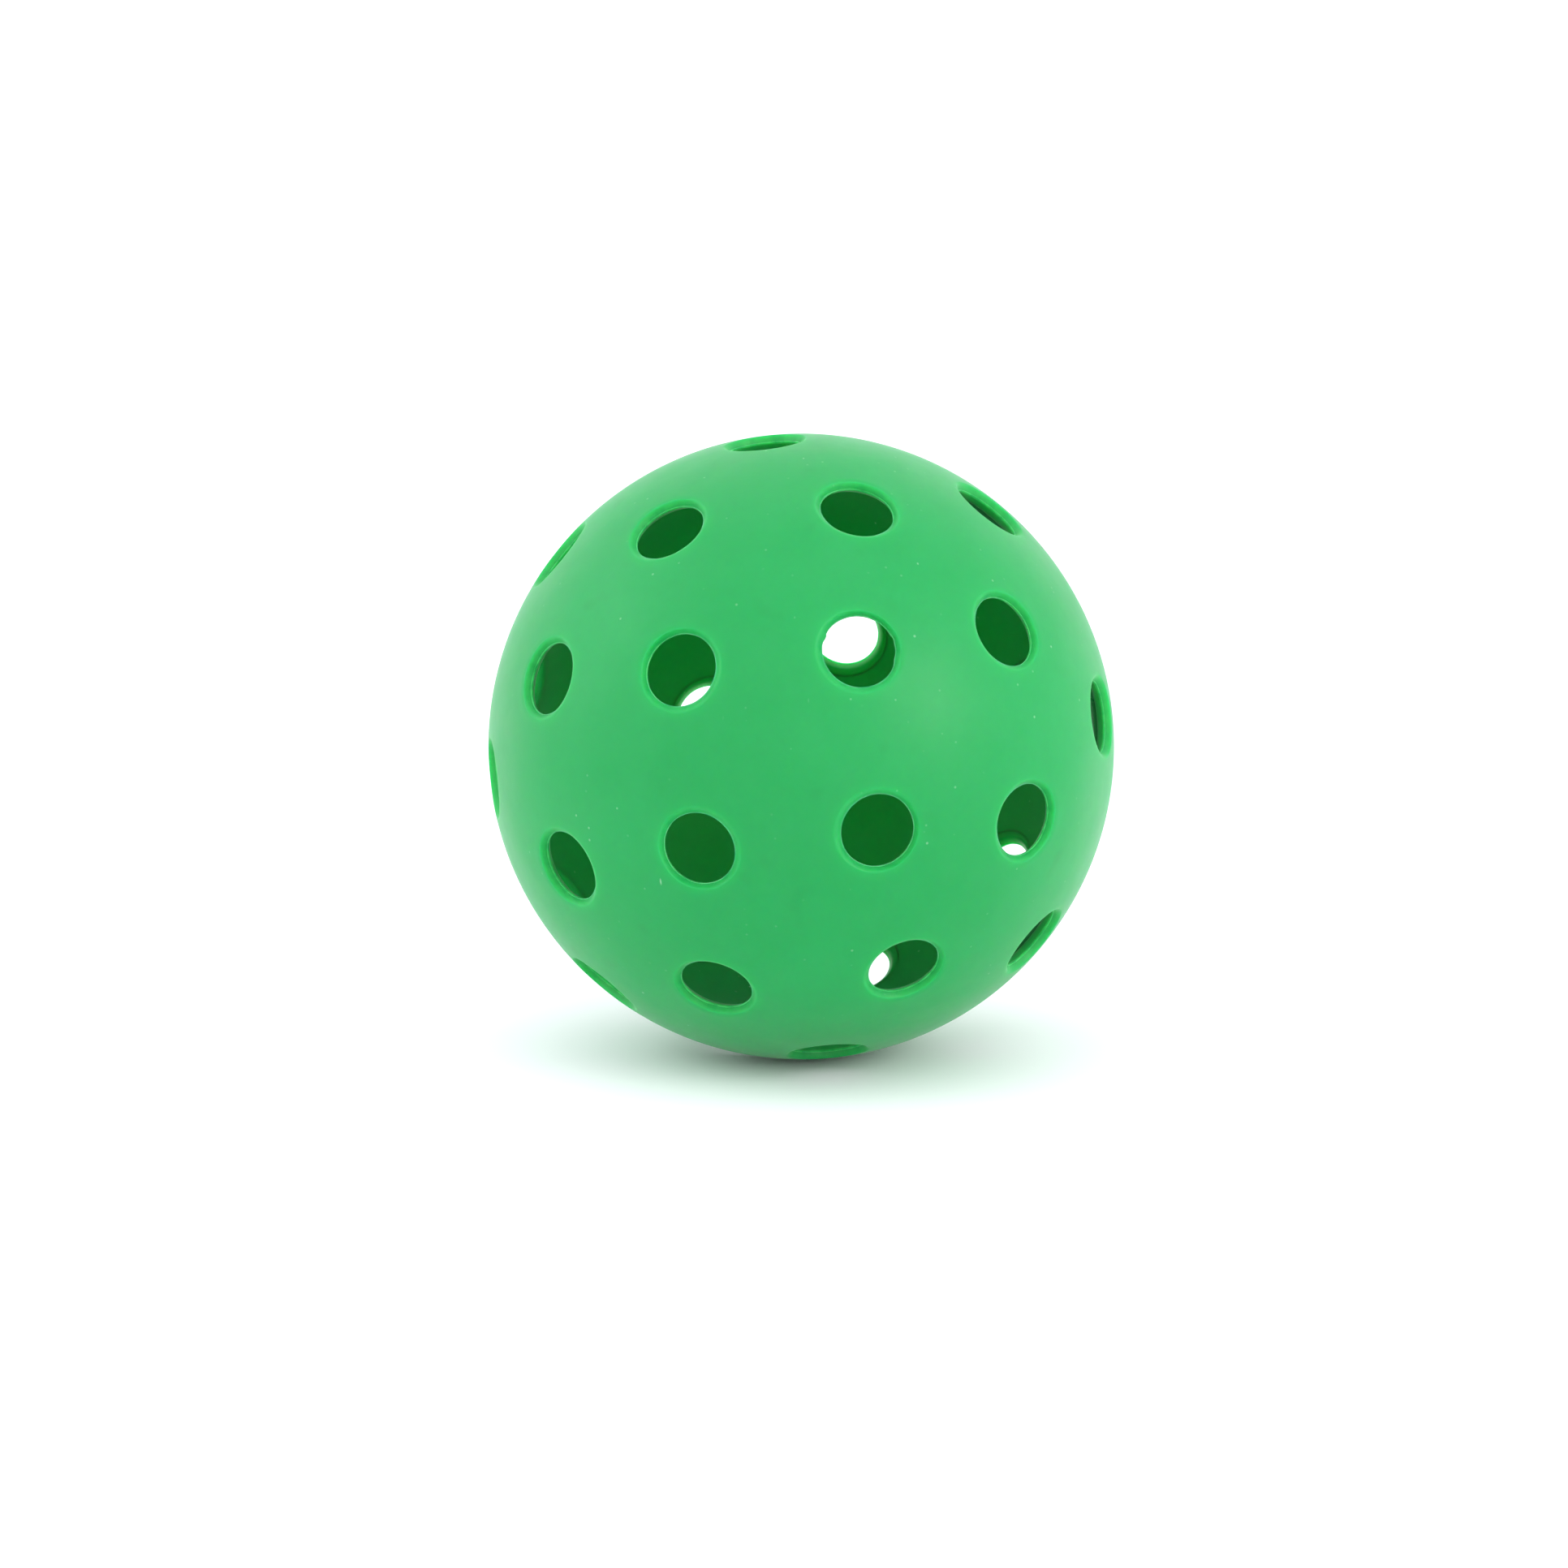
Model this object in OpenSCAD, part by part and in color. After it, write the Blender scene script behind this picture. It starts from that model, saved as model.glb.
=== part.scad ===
// Perforated hollow ball for pickleball: two moulded half shells, each with three
// rings of round air holes about its pole, welded together on a stepped rim.
// Millimetres, +Z up, origin at the centre of the ball. The ball lies on the
// lowest point of its surface with its pole axis in the YZ plane.

/* [Ball] */
// Outside diameter of the ball
ball_d = 74; // [72:0.1:76]
// Thickness of the shell's wall
wall_t = 1.8; // [1.5:0.1:2.2]

/* [Air holes] */
// Diameter of each hole at its narrowest, in the middle of the wall
hole_d = 8.4; // [7:0.1:9]
// How far each hole widens from its throat to either face of the wall
flare_w = 0.95; // [0.5:0.05:1]
// Length of the straight throat between the two flares
throat_l = 0.3; // [0.1:0.1:0.8]
// Angle from the pole to the inner ring of 4 holes
inner_ring_angle = 23.3; // [22:0.1:25]
// Angle from the pole to the middle ring of 8 holes
middle_ring_angle = 51.4; // [49:0.1:53]
// Angle from the pole to the outer ring of 8 holes, next to the seam
outer_ring_angle = 78; // [76:0.1:78]

/* [Seam] */
// Length of the front half's spigot past the seam
spigot_l = 1.2; // [0.6:0.1:1.3]
// Depth of the rear half's rebate, which also holds the weld
rebate_l = 1.5; // [1.4:0.1:1.6]
// Radius of the weld's bead on the inside of the wall
bead_r = 0.6; // [0.3:0.1:0.8]
// Depth of the fine groove that marks the seam on the outside
seam_groove = 0.12; // [0.05:0.01:0.2]
// Turn of the rear half about the pole axis against the front half
clocking = 27; // [0:1:90]

/* [How the ball lies] */
// Height of the front pole above the horizontal, seen from the ball's centre
lean = 9; // [-30:1:30]
// Turn of the whole ball about its pole axis
roll = 6.6; // [-45:0.1:45]

/* [Hidden] */
$fn = 96;

outer_r = ball_d / 2;
inner_r = outer_r - wall_t;
step_r = outer_r - wall_t / 2;
hole_r = hole_d / 2;

// Rings of holes on one half: angle from the pole, number of holes, first azimuth
RINGS = [
    [inner_ring_angle, 4, 45],
    [middle_ring_angle, 8, 22.5],
    [outer_ring_angle, 8, 0],
];

// Heights along a hole's axis, from the centre of the ball
flare_r = hole_r + flare_w;
outer_face_z = sqrt(pow(outer_r, 2) - pow(flare_r, 2));
inner_face_z = sqrt(pow(inner_r, 2) - pow(flare_r, 2));
throat_mid_z = (outer_face_z + inner_face_z) / 2;
throat_top_z = throat_mid_z + throat_l / 2;
throat_bottom_z = throat_mid_z - throat_l / 2;
cutter_top = outer_r + 0.5;
cutter_bottom = inner_r - 1.5;

shell_colour = "mediumseagreen";
weld_colour = "seagreen";

// Radius of the flare at a height along the hole's axis, for the flare that
// runs from one end of the throat to one face of the wall.
function flare_at(z, throat_z, face_z) =
    hole_r + flare_w * (z - throat_z) / (face_z - throat_z);

// Half of a hole's cutter, as an outline to spin: a short straight throat with
// a cone at each end that opens out to the wall's outer and inner face.
module hole_outline() {
    polygon([
        [0, cutter_bottom],
        [flare_at(cutter_bottom, throat_bottom_z, inner_face_z), cutter_bottom],
        [hole_r, throat_bottom_z],
        [hole_r, throat_top_z],
        [flare_at(cutter_top, throat_top_z, outer_face_z), cutter_top],
        [0, cutter_top],
    ]);
}

module hole_cutter() {
    rotate_extrude()
        hole_outline();
}

// All the holes of the half whose pole is on +Z.
module hole_pattern() {
    for (ring = RINGS, i = [0 : ring[1] - 1])
        rotate([0, ring[0], ring[2] + i * 360 / ring[1]])
            hole_cutter();
}

// The full wall on the +Z side of the seam plane, or from a height above it.
module half_wall(from_z) {
    difference() {
        sphere(r = outer_r);
        sphere(r = inner_r);
        translate([0, 0, from_z - outer_r * 2])
            cylinder(r = outer_r * 2, h = outer_r * 2);
    }
}

// Chamfer that runs round the outer edge of a rim, so that two rims make a groove.
module seam_chamfer() {
    rotate_extrude()
        polygon([
            [outer_r - seam_groove, 0],
            [outer_r + 1, 0],
            [outer_r + 1, seam_groove + 1],
        ]);
}

// Inner half of the wall's thickness, below the seam plane.
module spigot() {
    difference() {
        translate([0, 0, -spigot_l])
            cylinder(r = step_r, h = spigot_l);
        sphere(r = inner_r);
    }
}

// Outer half of the wall's thickness, above the seam plane and beside the rebate.
module rebate_lip() {
    difference() {
        intersection() {
            sphere(r = outer_r);
            cylinder(r = outer_r * 2, h = rebate_l);
        }
        translate([0, 0, -1])
            cylinder(r = step_r, h = rebate_l + 2);
    }
}

// Turns a half made with its pole on +Z to the way the ball lies, pole forward.
module as_it_lies() {
    rotate([90 - lean, 0, 0])
        rotate([0, 0, roll])
            children();
}

module front_half() {
    color(shell_colour)
        as_it_lies()
            difference() {
                union() {
                    half_wall(0);
                    spigot();
                }
                seam_chamfer();
                hole_pattern();
            }
}

module rear_half() {
    color(shell_colour)
        as_it_lies()
            rotate([0, 0, clocking])
                mirror([0, 0, 1])
                    difference() {
                        union() {
                            half_wall(rebate_l);
                            rebate_lip();
                        }
                        seam_chamfer();
                        hole_pattern();
                    }
}

// The weld fills the end of the rebate under the spigot and bulges inwards.
module weld_ring() {
    gap_h = rebate_l - spigot_l;
    root_r = inner_r - bead_r / 2;
    color(weld_colour)
        as_it_lies()
            rotate_extrude() {
                translate([root_r, -rebate_l])
                    square([step_r - root_r, gap_h]);
                intersection() {
                    translate([inner_r, -spigot_l - gap_h / 2])
                        circle(r = bead_r, $fn = 32);
                    circle(r = inner_r, $fn = 360);
                }
            }
}

front_half();
rear_half();
weld_ring();
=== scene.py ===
"""Looks of a perforated pickleball ball: two moulded half shells and the weld between them."""

import math

import bpy
from mathutils import Matrix, Vector, noise
from mathutils.geometry import delaunay_2d_cdt


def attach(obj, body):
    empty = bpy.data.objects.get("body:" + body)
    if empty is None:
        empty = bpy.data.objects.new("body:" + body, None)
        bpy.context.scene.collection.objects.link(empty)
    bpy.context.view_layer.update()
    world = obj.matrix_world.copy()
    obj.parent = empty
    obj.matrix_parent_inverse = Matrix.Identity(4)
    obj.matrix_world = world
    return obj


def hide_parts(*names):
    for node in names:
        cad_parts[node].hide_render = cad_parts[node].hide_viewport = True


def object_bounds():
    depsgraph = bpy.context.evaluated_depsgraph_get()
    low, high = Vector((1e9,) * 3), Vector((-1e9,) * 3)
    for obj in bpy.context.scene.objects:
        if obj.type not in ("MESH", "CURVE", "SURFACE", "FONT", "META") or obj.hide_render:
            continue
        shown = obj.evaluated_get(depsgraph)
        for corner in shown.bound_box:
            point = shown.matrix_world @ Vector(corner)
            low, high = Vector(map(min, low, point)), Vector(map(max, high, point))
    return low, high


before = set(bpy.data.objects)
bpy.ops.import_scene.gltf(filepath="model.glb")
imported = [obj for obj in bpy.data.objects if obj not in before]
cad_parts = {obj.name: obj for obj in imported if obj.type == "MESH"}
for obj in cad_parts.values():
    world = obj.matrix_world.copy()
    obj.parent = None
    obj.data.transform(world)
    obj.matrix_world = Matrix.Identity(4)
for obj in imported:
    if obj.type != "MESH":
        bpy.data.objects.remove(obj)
cad_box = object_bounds()

MM = 0.001
TURN = 2 * math.pi

# The ball, in millimetres, as part.scad makes it.
WALL = 1.8
HOLE_R = 4.2
RINGS = [(23.3, 4, 45.0), (51.4, 8, 22.5), (78.0, 8, 0.0)]  # angle from pole, holes, first azimuth
SPIGOT_L = 1.2
REBATE_L = 1.5
BEAD_R = 0.6
GROOVE = 0.12
CLOCKING = 27.0
LEAN = 9.0
ROLL = 6.6

# Details of the moulded surface, in millimetres.
FLARE_HIGHLIGHT = 0.26       # painted highlight: its share at the inner end of a flare, against the crisp edge's full share
FIT_GAP = 0.01          # space between the two rims inside the wall
EDGE_WOBBLE = 0.03      # how far a hole's edge wanders from a true circle
FLARE_R = 4.97          # where the flare round a hole leaves the wall's surface, on average
FLARE_SHIFT = 0.36      # outside, the flare is this much wider on the pole's side of the hole
FLARE_DEPTH = 0.76      # how far the flare goes into the wall before it meets the throat
FLARE_POWER = 1.70      # 1 is a straight cone, more is a rounder flare
THROAT_ROUND = 0.08     # radius of the two crisp edges at the ends of the throat
SPIGOT_CHAMFER = 0.1    # chamfer round the end of the spigot
WELD_GAP = 2 * FIT_GAP  # how far the weld's outer side stays inside the step

# The shell's radii. The visual sphere fits inside the tessellated CAD model's box.
HALF_SIZES = [(hi - lo) / 2 / MM for lo, hi in zip(*cad_box)]
OUTER_R = min(HALF_SIZES) - FIT_GAP
INNER_R = OUTER_R - WALL
MID_R = OUTER_R - WALL / 2

# Mesh density.
HOLE_SEGMENTS = 96
RIM_SEGMENTS = 384
FLARE_STEPS = 10
ROUND_STEPS = 5
BEAD_STEPS = 16
POINT_SPACING = 0.95    # millimetres between the sphere's points
POINT_CLEARANCE = 0.62  # how far points stay from borders and collars, as a share of the spacing
COLLAR_R = 5.7          # radius round each hole's axis where its rings meet the triangulated sphere
COLLAR_RINGS = (COLLAR_R, 5.55, 5.4)             # radii of the rings between a collar and its flare
BORDER_ANGLE = math.radians(87.4)                # from the pole to where the rim's rings begin
RIM_HEIGHTS = (1.2, 0.75, 0.42, 0.24, GROOVE)    # heights of the rim's outer rings above the seam
SPIGOT_HEIGHTS = (-SPIGOT_L, -0.5, 0.2, 0.9)     # heights of the front rim's inner rings
SHARP_ANGLE = math.radians(35)                   # edges that turn more than this are shaded sharp
REAR_SEED = 40                                   # keeps the rear holes' wobble apart from the front's

# Small faults that show on the edges of holes: piece, ring, hole, and then for each
# fault its angle round the hole, its width in degrees and its depth in millimetres.
EDGE_FAULTS = {
    ("front_shell", 0, 0): [(108, 6, 0.16), (300, 8, 0.12), (332, 5, -0.10)],
    ("front_shell", 2, 0): [(222, 8, 0.18), (242, 5, -0.12)],
    ("front_shell", 2, 6): [(168, 4, 0.10)],
    ("front_shell", 2, 7): [(256, 7, 0.20), (276, 5, 0.14), (236, 4, -0.10)],
}

# Colours, as linear red, green and blue.
GREEN = (0.0, 0.285, 0.064)
DEEP_GREEN = (0.0, 0.260, 0.055)
PALE_GREEN = (0.004, 0.310, 0.075)
EDGE_HIGHLIGHT_GREEN = (0.06, 0.54, 0.13)      # painted highlight: the pale green painted along the crisp edges of the holes and their flares
DUST = (0.30, 0.55, 0.38)
SMUDGE = (0.0, 0.215, 0.045)
# Painted sheen: the whitish tint mixed into the colour in soft patches.
SHEEN_PAINT = (0.16, 0.40, 0.26)
FLOOR_DULL = (0.88, 0.885, 0.90)
FLOOR_BRIGHT = (0.90, 0.905, 0.92)
SKY_COLOUR = (0.97, 0.985, 1.0)

PLASTIC_IOR = 1.51
MOTTLE = 0.16           # largest share of the deep green in the fine mottling

# The sky's strength fades from front to back, between two values of its direction's Y.
SKY_FRONT = 1.72
SKY_BACK = 1.25
SKY_FADE_START = -0.2
SKY_FADE_END = 0.9

# Soft boxes: name, place and side in metres, power in watts, colour.
SOFT_BOXES = [
    ("right_box", (0.70, -0.48, 0.35), 0.4, 2.6, (1.0, 0.985, 0.96)),
    ("left_box", (-0.75, -0.05, 0.45), 0.6, 1.4, (0.90, 0.95, 1.0)),
]

FLOOR_REACH = 12.0      # metres from the ball to each side of the floor


# ---------------------------------------------------------------- camera

# The camera stands in front of the ball, a little to its right and above it.
CAMERA_AZIMUTH = 4.5
CAMERA_ELEVATION = 10.1
CAMERA_DISTANCE = 0.629
CAMERA_LENS = 122.0
AIM_RIGHT = -0.00203    # the camera aims beside and below the ball's centre
AIM_UP = -0.00443


def make_camera():
    azimuth = math.radians(CAMERA_AZIMUTH)
    elevation = math.radians(CAMERA_ELEVATION)
    back = Vector((
        math.sin(azimuth) * math.cos(elevation),
        -math.cos(azimuth) * math.cos(elevation),
        math.sin(elevation),
    ))
    right = Vector((math.cos(azimuth), math.sin(azimuth), 0))
    up = back.cross(right)
    data = bpy.data.cameras.new("camera")
    data.sensor_width = 36
    data.lens = CAMERA_LENS
    data.clip_start = 0.01
    data.clip_end = 50
    camera = bpy.data.objects.new("camera", data)
    camera.location = right * AIM_RIGHT + up * AIM_UP + back * CAMERA_DISTANCE
    camera.rotation_euler = back.to_track_quat("Z", "Y").to_euler()
    bpy.context.scene.collection.objects.link(camera)
    bpy.context.scene.camera = camera


# ---------------------------------------------------------------- shell mesh

def hole_frames():
    """Each hole's ring, number, axis and two directions square to the axis, with the pole on +Z."""
    frames = []
    for ring, (angle, count, first) in enumerate(RINGS):
        polar = math.radians(angle)
        for number in range(count):
            azimuth = math.radians(first + 360 * number / count)
            axis = Vector((
                math.sin(polar) * math.cos(azimuth),
                math.sin(polar) * math.sin(azimuth),
                math.cos(polar),
            ))
            away = Vector((
                math.cos(polar) * math.cos(azimuth),
                math.cos(polar) * math.sin(azimuth),
                -math.sin(polar),
            ))
            frames.append((ring, number, axis, away, axis.cross(away)))
    return frames


def edge_offset(seed, faults, angle):
    """How far the edge of a hole stands in from a true circle at an angle, in millimetres."""
    phase = seed * 7.31
    spot = Vector((math.cos(angle) * 1.3 + phase, math.sin(angle) * 1.3, phase * 0.5))
    offset = EDGE_WOBBLE * noise.noise(spot) + EDGE_WOBBLE * 0.4 * noise.noise(spot * 5)
    for centre, width, depth in faults:
        away = math.degrees(angle) - centre
        away = (away + 180) % 360 - 180
        offset += depth * math.exp(-(away / width) ** 2) * (1 + 0.5 * noise.noise(spot * 14))
    return offset


def edge_profile(shift):
    """The hole's section, from the collar on the outside to the collar on the inside.

    Each point is its distance from the axis, its height along the axis, how much of
    the edge's irregularity it takes and how much painted highlight its colour takes,
    which is most at the crisp edges and half as much on the inner flare. A soft flare
    leads from each face of the wall to a crisp edge, with a short throat between them.
    The hole leans towards the pole, so shift narrows its outer flare and widens its
    inner one.
    """
    outside = half_profile(FLARE_R - shift)
    inside = [
        (r, WALL - depth, share, 0.5 * pale)
        for r, depth, share, pale in reversed(half_profile(FLARE_R + shift))
    ]
    return [
        (r, math.sqrt((OUTER_R - depth) ** 2 - r ** 2), share, pale)
        for r, depth, share, pale in outside + inside
    ]


def half_profile(flare_r):
    """From the collar down one flare to the end of the throat: radius, depth, share, painted
    highlight.
    """
    section = [(r, 0.0, 0.0, 0.0) for r in COLLAR_RINGS]
    run = flare_r - HOLE_R - THROAT_ROUND
    for step in range(FLARE_STEPS + 1):
        t = step / FLARE_STEPS
        # The painted highlight grows along the flare towards the crisp edge.
        section.append((flare_r - run * t, FLARE_DEPTH * t ** FLARE_POWER, t ** 2, FLARE_HIGHLIGHT * t))
    slope = math.atan2(FLARE_DEPTH * FLARE_POWER, run)
    for step in range(1, ROUND_STEPS + 1):
        turned = slope + (math.pi / 2 - slope) * step / ROUND_STEPS
        inward = (math.sin(turned) - math.sin(slope)) / (1 - math.sin(slope))
        depth = FLARE_DEPTH + THROAT_ROUND * (math.cos(slope) - math.cos(turned))
        # The crisp edge's rounding takes the full painted highlight.
        section.append((HOLE_R + THROAT_ROUND * (1 - inward), depth, 1.0, 1.0))
    return section


def sphere_points(holes, border, collar, gap):
    """Evenly spread directions on a half, clear of its border and of the collars of its holes."""
    total = int(4 * math.pi * (OUTER_R / POINT_SPACING) ** 2)
    golden = math.pi * (3 - math.sqrt(5))
    found = []
    for i in range(total):
        z = 1 - (2 * i + 1) / total
        if z < math.cos(border - gap):
            break
        r = math.sqrt(1 - z * z)
        point = Vector((r * math.cos(golden * i), r * math.sin(golden * i), z))
        if all(point.dot(axis) < math.cos(collar + gap) for _, _, axis, _, _ in holes):
            found.append(point)
    return found


def flatten(direction):
    """Stereographic projection about the pole, which keeps circles round."""
    return Vector((direction.x, direction.y)) / (1 + direction.z)


def triangulated_half(holes):
    """Directions and triangles of one half's sphere, with its border ring and hole collars.

    The border's points come first, then each collar's in turn, then the free points.
    """
    collar = math.asin(COLLAR_R / OUTER_R)
    points = []
    for i in range(RIM_SEGMENTS):
        a = TURN * i / RIM_SEGMENTS
        r = math.sin(BORDER_ANGLE)
        points.append(Vector((r * math.cos(a), r * math.sin(a), math.cos(BORDER_ANGLE))))
    loops = [list(range(RIM_SEGMENTS))]
    for _, _, axis, away, beside in holes:
        start = len(points)
        for i in range(HOLE_SEGMENTS):
            a = TURN * i / HOLE_SEGMENTS
            ring = away * math.cos(a) + beside * math.sin(a)
            points.append(axis * math.cos(collar) + ring * math.sin(collar))
        loops.append(list(range(start, start + HOLE_SEGMENTS)))
    gap = POINT_CLEARANCE * POINT_SPACING / OUTER_R
    points += sphere_points(holes, BORDER_ANGLE, collar, gap)
    edges = [(loop[i - 1], loop[i]) for loop in loops for i in range(len(loop))]
    flat_points = [flatten(p) for p in points]
    _, _, faces, origin, _, _ = delaunay_2d_cdt(flat_points, edges, [], 0, 1e-9)
    source = [found[0] for found in origin]
    triangles = []
    for face in faces:
        corners = [source[v] for v in face]
        middle = sum((points[c] for c in corners), Vector()).normalized()
        if all(middle.dot(axis) < math.cos(collar) for _, _, axis, _, _ in holes):
            triangles.append(corners)
    return points, triangles, loops


def bridge(faces, ring_a, ring_b):
    """Quads between two closed rings of the same length, facing out where ring_a is outermost."""
    for i in range(len(ring_a)):
        j = (i + 1) % len(ring_a)
        faces.append((ring_a[i], ring_a[j], ring_b[j], ring_b[i]))


def add_ring(vertices, radius, height):
    """A ring of vertices about the pole axis; returns their numbers."""
    start = len(vertices)
    for i in range(RIM_SEGMENTS):
        a = TURN * i / RIM_SEGMENTS
        vertices.append(Vector((radius * math.cos(a), radius * math.sin(a), height)))
    return list(range(start, start + RIM_SEGMENTS))


def on_sphere(radius, heights):
    """Points of a sphere's section at some heights: distance from the pole axis, and height."""
    return [(math.sqrt(radius ** 2 - z ** 2), z) for z in heights]


def front_rim():
    """Section of the front half's rim from its outer border to its inner one, with the spigot."""
    step_r = MID_R - FIT_GAP
    return (
        on_sphere(OUTER_R, RIM_HEIGHTS)
        + [(OUTER_R - GROOVE, FIT_GAP / 2), (step_r, FIT_GAP / 2)]
        + [(step_r, -SPIGOT_L + SPIGOT_CHAMFER), (step_r - SPIGOT_CHAMFER, -SPIGOT_L)]
        + on_sphere(INNER_R, SPIGOT_HEIGHTS)
    )


def rear_rim():
    """Section of the rear half's rim, measured from its own pole, with the rebate."""
    return (
        on_sphere(OUTER_R, RIM_HEIGHTS)
        + [(OUTER_R - GROOVE, FIT_GAP / 2), (MID_R + FIT_GAP, FIT_GAP / 2)]
        + [(MID_R + FIT_GAP, REBATE_L)]
        + on_sphere(INNER_R, (REBATE_L,))
    )


def half_shell(name, rim, clocking, mirrored):
    """One moulded half as a closed mesh: both faces of the wall, its holes' edges and its rim."""
    holes = hole_frames()
    points, triangles, loops = triangulated_half(holes)
    count = len(points)
    vertices = [p * OUTER_R for p in points] + [p * INNER_R for p in points]
    faces = [tuple(t) for t in triangles]
    faces += [tuple(count + v for v in reversed(t)) for t in triangles]

    ring = loops[0]
    for radius, height in rim:
        following = add_ring(vertices, radius, height)
        bridge(faces, following, ring)
        ring = following
    bridge(faces, [count + v for v in loops[0]], ring)

    # Share of painted highlight at each vertex: none on the wall's faces and rim.
    highlight_paint = [0.0] * len(vertices)
    profiles = [
        edge_profile(FLARE_SHIFT * math.cos(TURN * i / HOLE_SEGMENTS))
        for i in range(HOLE_SEGMENTS)
    ]
    for order, (hole, loop) in enumerate(zip(holes, loops[1:])):
        ring_index, number, axis, away, beside = hole
        faults = EDGE_FAULTS.get((name, ring_index, number), [])
        offsets = [
            edge_offset(order + REAR_SEED * mirrored, faults, TURN * i / HOLE_SEGMENTS)
            for i in range(HOLE_SEGMENTS)
        ]
        ring = loop
        for level in range(1, len(profiles[0]) - 1):
            start = len(vertices)
            for i, offset in enumerate(offsets):
                radius, height, share, pale = profiles[i][level]
                highlight_paint.append(pale)
                a = TURN * i / HOLE_SEGMENTS
                outward = away * math.cos(a) + beside * math.sin(a)
                vertices.append(axis * height + outward * (radius - offset * share))
            following = list(range(start, start + HOLE_SEGMENTS))
            bridge(faces, ring, following)
            ring = following
        bridge(faces, ring, [count + v for v in loop])

    lie = Matrix.Rotation(math.radians(90 - LEAN), 4, "X")
    lie = lie @ Matrix.Rotation(math.radians(ROLL), 4, "Z")
    lie = lie @ Matrix.Rotation(math.radians(clocking), 4, "Z")
    if mirrored:
        lie = lie @ Matrix.Scale(-1, 4, (0, 0, 1))
        faces = [tuple(reversed(f)) for f in faces]
    piece = make_object(name, [lie @ (v * MM) for v in vertices], faces)
    # The edge attribute carries the painted highlight to the shader.
    attribute = piece.data.attributes.new("edge", "FLOAT", "POINT")
    attribute.data.foreach_set("value", highlight_paint)
    return piece


def make_object(name, vertices, faces):
    """A smooth-shaded object, in metres, linked to the scene."""
    mesh = bpy.data.meshes.new(name)
    mesh.from_pydata(vertices, [], faces)
    mesh.validate()
    mesh.shade_smooth()
    mesh.set_sharp_from_angle(angle=SHARP_ANGLE)
    piece = bpy.data.objects.new(name, mesh)
    bpy.context.scene.collection.objects.link(piece)
    return piece


def weld_mesh(name):
    """The weld: a flat fillet between the spigot and the rebate, and a lumpy bead inside the wall."""
    middle = (SPIGOT_L + REBATE_L) / 2
    half_gap = (REBATE_L - SPIGOT_L) / 2 - FIT_GAP
    vertices = []
    faces = []
    rings = []
    for i in range(RIM_SEGMENTS):
        a = TURN * i / RIM_SEGMENTS
        along = Vector((math.cos(a), math.sin(a), 0))
        lump = 1 + 0.10 * noise.noise(along * 9) + 0.05 * noise.noise(along * 31)
        bead = (BEAD_R - FIT_GAP) * min(lump, 1.0)
        section = [(MID_R - WELD_GAP, half_gap), (MID_R - WELD_GAP, -half_gap)]
        for step in range(BEAD_STEPS + 1):
            t = math.pi * step / BEAD_STEPS
            section.append((INNER_R - FIT_GAP - bead * math.sin(t), -bead * math.cos(t)))
        start = len(vertices)
        vertices += [along * r + Vector((0, 0, z - middle)) for r, z in section]
        rings.append(list(range(start, len(vertices))))
    for i in range(RIM_SEGMENTS):
        bridge(faces, rings[i - 1], rings[i])
    lie = Matrix.Rotation(math.radians(90 - LEAN), 4, "X")
    return make_object(name, [lie @ (v * MM) for v in vertices], faces)


# ---------------------------------------------------------------- materials

class Nodes:
    """Short calls for building a node tree."""

    def __init__(self, owner, shader="Principled BSDF"):
        owner.use_nodes = True
        self.tree = owner.node_tree
        self.shader = self.tree.nodes[shader]

    def add(self, kind, **settings):
        node = self.tree.nodes.new(kind)
        for key, value in settings.items():
            setattr(node, key, value)
        return node

    def link(self, output, socket):
        self.tree.links.new(output, socket)

    def noise(self, coordinates, scale, detail=2.0, roughness=0.5):
        node = self.add("ShaderNodeTexNoise")
        node.inputs["Scale"].default_value = scale
        node.inputs["Detail"].default_value = detail
        node.inputs["Roughness"].default_value = roughness
        self.link(coordinates, node.inputs["Vector"])
        return node.outputs["Fac"]

    def span(self, value, low, high, to_low, to_high):
        """Maps a value from one range to another, held at its ends."""
        node = self.add("ShaderNodeMapRange")
        node.inputs["From Min"].default_value = low
        node.inputs["From Max"].default_value = high
        node.inputs["To Min"].default_value = to_low
        node.inputs["To Max"].default_value = to_high
        self.link(value, node.inputs["Value"])
        return node.outputs["Result"]

    def specks(self, coordinates, scale, share, size):
        """Small soft spots, one in each cell whose random number is above the share."""
        cells = self.add("ShaderNodeTexVoronoi", feature="F1")
        cells.inputs["Scale"].default_value = scale
        self.link(coordinates, cells.inputs["Vector"])
        chosen = self.add("ShaderNodeSeparateColor")
        self.link(cells.outputs["Color"], chosen.inputs["Color"])
        few = self.span(chosen.outputs["Red"], share, 1.0, 0, 1)
        spot = self.span(cells.outputs["Distance"], 0.2 * size, size, 1, 0)
        return self.maths("MULTIPLY", spot, few)

    def bump(self, height, strength, distance):
        """Feeds a height to the shader's normal."""
        node = self.add("ShaderNodeBump")
        node.inputs["Strength"].default_value = strength
        node.inputs["Distance"].default_value = distance
        self.link(height, node.inputs["Height"])
        self.link(node.outputs["Normal"], self.shader.inputs["Normal"])

    def maths(self, operation, first, second):
        node = self.add("ShaderNodeMath", operation=operation)
        for socket, value in zip(node.inputs, (first, second)):
            if isinstance(value, (int, float)):
                socket.default_value = value
            else:
                self.link(value, socket)
        return node.outputs["Value"]

    def mix(self, share, first, second):
        """The first colour, with a share of the second mixed in."""
        node = self.add("ShaderNodeMix", data_type="RGBA")
        if isinstance(share, (int, float)):
            node.inputs[0].default_value = share
        else:
            self.link(share, node.inputs[0])
        for socket, value in ((node.inputs[6], first), (node.inputs[7], second)):
            if isinstance(value, tuple):
                socket.default_value = (*value, 1)
            else:
                self.link(value, socket)
        return node.outputs[2]


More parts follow.
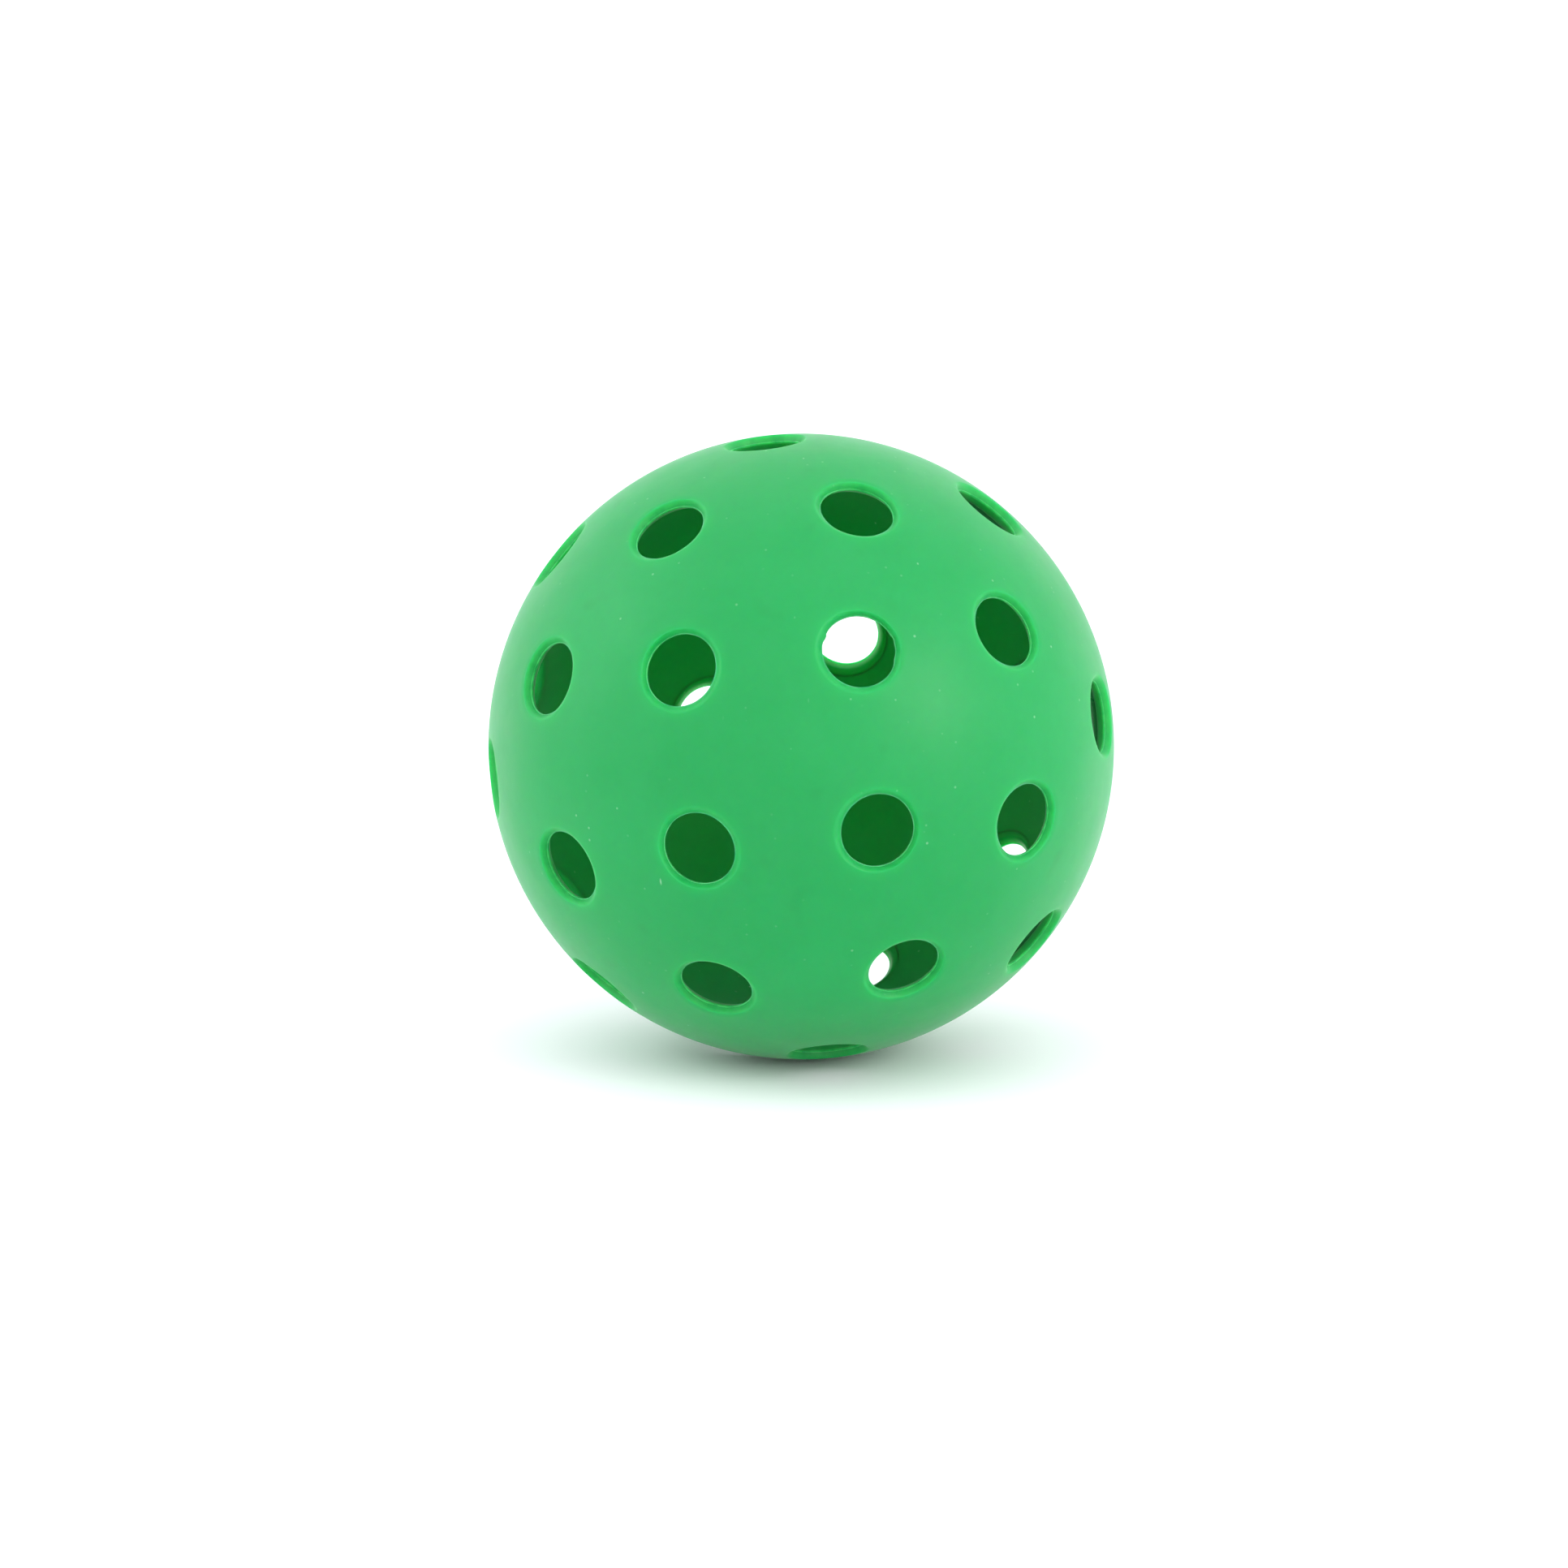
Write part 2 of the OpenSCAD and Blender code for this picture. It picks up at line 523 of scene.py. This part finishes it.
def shell_material():
    material = bpy.data.materials.new("shell_plastic")
    nodes = Nodes(material)
    place = nodes.add("ShaderNodeTexCoord").outputs["Object"]
    shader = nodes.shader

    cloud = nodes.noise(place, 38, 3, 0.55)
    colour = nodes.mix(nodes.span(cloud, 0.35, 0.65, 0, 1), DEEP_GREEN, PALE_GREEN)
    colour = nodes.mix(0.62, colour, GREEN)
    mottle = nodes.span(nodes.noise(place, 620, 3, 0.65), 0.35, 0.65, 0, MOTTLE)
    colour = nodes.mix(mottle, colour, DEEP_GREEN)
    # Painted sheen: a faint whitish tint mixed into the colour in soft patches.
    painted_sheen = nodes.span(nodes.noise(place, 130, 5, 0.7), 0.42, 0.66, 0, 0.02)
    colour = nodes.mix(painted_sheen, colour, SHEEN_PAINT)
    smudge = nodes.span(nodes.noise(place, 210, 1), 0.68, 0.82, 0, 0.35)
    colour = nodes.mix(smudge, colour, SMUDGE)

    patches = nodes.span(nodes.noise(place, 60, 1), 0.42, 0.62, 0.3, 1)
    dust = nodes.maths("MULTIPLY", nodes.specks(place, 600, 0.62, 0.12), patches)
    stretched = nodes.add("ShaderNodeMapping")
    stretched.inputs["Rotation"].default_value = (0.5, 0.9, 0.3)
    stretched.inputs["Scale"].default_value = (1, 1, 0.12)
    nodes.link(place, stretched.inputs["Vector"])
    fibres = nodes.specks(stretched.outputs["Vector"], 330, 0.88, 0.05)
    loose = nodes.maths("MAXIMUM", dust, fibres)
    colour = nodes.mix(nodes.maths("MULTIPLY", loose, 0.8), colour, DUST)
    # Painted highlight: pale green painted along the crisp edges and flares of the holes, in broken
    # patches.
    edge = nodes.add("ShaderNodeAttribute", attribute_name="edge").outputs["Fac"]
    highlight_breakup = nodes.span(nodes.noise(place, 700, 3, 0.6), 0.35, 0.6, 0.25, 1.0)
    colour = nodes.mix(nodes.maths("MULTIPLY", edge, highlight_breakup), colour, EDGE_HIGHLIGHT_GREEN)
    nodes.link(colour, shader.inputs["Base Color"])

    wear = nodes.noise(place, 90, 4, 0.6)
    nodes.link(nodes.span(wear, 0.3, 0.7, 0.40, 0.52), shader.inputs["Roughness"])

    grain = nodes.noise(place, 2600, 2, 0.6)
    peel = nodes.noise(place, 320, 2, 0.5)
    height = nodes.maths("ADD", nodes.maths("MULTIPLY", grain, 0.35), peel)
    nodes.bump(height, 0.05, 0.0002)

    shader.inputs["IOR"].default_value = PLASTIC_IOR
    shader.inputs["Specular IOR Level"].default_value = 0.3
    shader.inputs["Sheen Weight"].default_value = 0.11
    shader.inputs["Sheen Roughness"].default_value = 0.35
    under_dust = nodes.maths("MULTIPLY", loose, 0.6)
    under_mottle = nodes.span(mottle, 0, MOTTLE, 0.02, 0.08)
    covered = nodes.maths("MAXIMUM", under_dust, under_mottle)
    nodes.link(nodes.maths("SUBTRACT", 1.0, covered), shader.inputs["Subsurface Weight"])
    shader.inputs["Subsurface Radius"].default_value = (0.10, 1.0, 0.30)
    shader.inputs["Subsurface Scale"].default_value = 0.0055
    return material


def weld_material():
    material = bpy.data.materials.new("weld_plastic")
    nodes = Nodes(material)
    place = nodes.add("ShaderNodeTexCoord").outputs["Object"]
    shader = nodes.shader
    cloud = nodes.noise(place, 160, 3, 0.6)
    colour = nodes.mix(nodes.span(cloud, 0.35, 0.65, 0, 1), DEEP_GREEN, GREEN)
    nodes.link(colour, shader.inputs["Base Color"])
    nodes.link(nodes.span(cloud, 0.3, 0.7, 0.24, 0.36), shader.inputs["Roughness"])
    nodes.bump(nodes.noise(place, 700, 2), 0.15, 0.0003)
    shader.inputs["IOR"].default_value = PLASTIC_IOR
    return material


def floor_material():
    material = bpy.data.materials.new("floor")
    nodes = Nodes(material)
    place = nodes.add("ShaderNodeTexCoord").outputs["Object"]
    tone = nodes.span(nodes.noise(place, 6, 2), 0.3, 0.7, 0, 1)
    nodes.link(nodes.mix(tone, FLOOR_DULL, FLOOR_BRIGHT), nodes.shader.inputs["Base Color"])
    nodes.shader.inputs["Roughness"].default_value = 0.9
    nodes.shader.inputs["Specular IOR Level"].default_value = 0.0
    return material


# ---------------------------------------------------------------- stage and light

def make_floor():
    height = cad_box[0].z
    corners = [
        (-FLOOR_REACH, -FLOOR_REACH, height),
        (FLOOR_REACH, -FLOOR_REACH, height),
        (FLOOR_REACH, FLOOR_REACH, height),
        (-FLOOR_REACH, FLOOR_REACH, height),
    ]
    mesh = bpy.data.meshes.new("floor")
    mesh.from_pydata(corners, [], [(0, 1, 2, 3)])
    floor = bpy.data.objects.new("floor", mesh)
    bpy.context.scene.collection.objects.link(floor)
    mesh.materials.append(floor_material())


def area_light(name, place, size, power, colour):
    """A square soft box that faces the ball."""
    data = bpy.data.lights.new(name, "AREA")
    data.shape = "SQUARE"
    data.size = size
    data.energy = power
    data.color = colour
    light = bpy.data.objects.new(name, data)
    light.location = place
    light.rotation_euler = Vector(place).to_track_quat("Z", "Y").to_euler()
    bpy.context.scene.collection.objects.link(light)


def make_lights():
    world = bpy.data.worlds.new("studio")
    nodes = Nodes(world, "Background")
    direction = nodes.add("ShaderNodeTexCoord").outputs["Generated"]
    parts = nodes.add("ShaderNodeSeparateXYZ")
    nodes.link(direction, parts.inputs["Vector"])
    strength = nodes.span(parts.outputs["Y"], SKY_FADE_START, SKY_FADE_END, SKY_FRONT, SKY_BACK)
    nodes.link(strength, nodes.shader.inputs["Strength"])
    nodes.shader.inputs["Color"].default_value = (*SKY_COLOUR, 1)
    bpy.context.scene.world = world
    for name, place, size, power, colour in SOFT_BOXES:
        area_light(name, place, size, power, colour)


# ---------------------------------------------------------------- build

def place_piece(piece, material):
    """Gives a piece its material and the body it rides on."""
    piece.data.materials.append(material)
    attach(piece, "root")


make_camera()
make_floor()
make_lights()

shell_plastic = shell_material()
weld_plastic = weld_material()

front = half_shell("front_shell", front_rim(), 0, False)
place_piece(front, shell_plastic)
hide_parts("front_half")

rear = half_shell("rear_shell", rear_rim(), CLOCKING, True)
place_piece(rear, shell_plastic)
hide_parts("rear_half")

weld = weld_mesh("weld_bead")
place_piece(weld, weld_plastic)
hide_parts("weld_ring")

bpy.context.scene.view_settings.view_transform = "Standard"
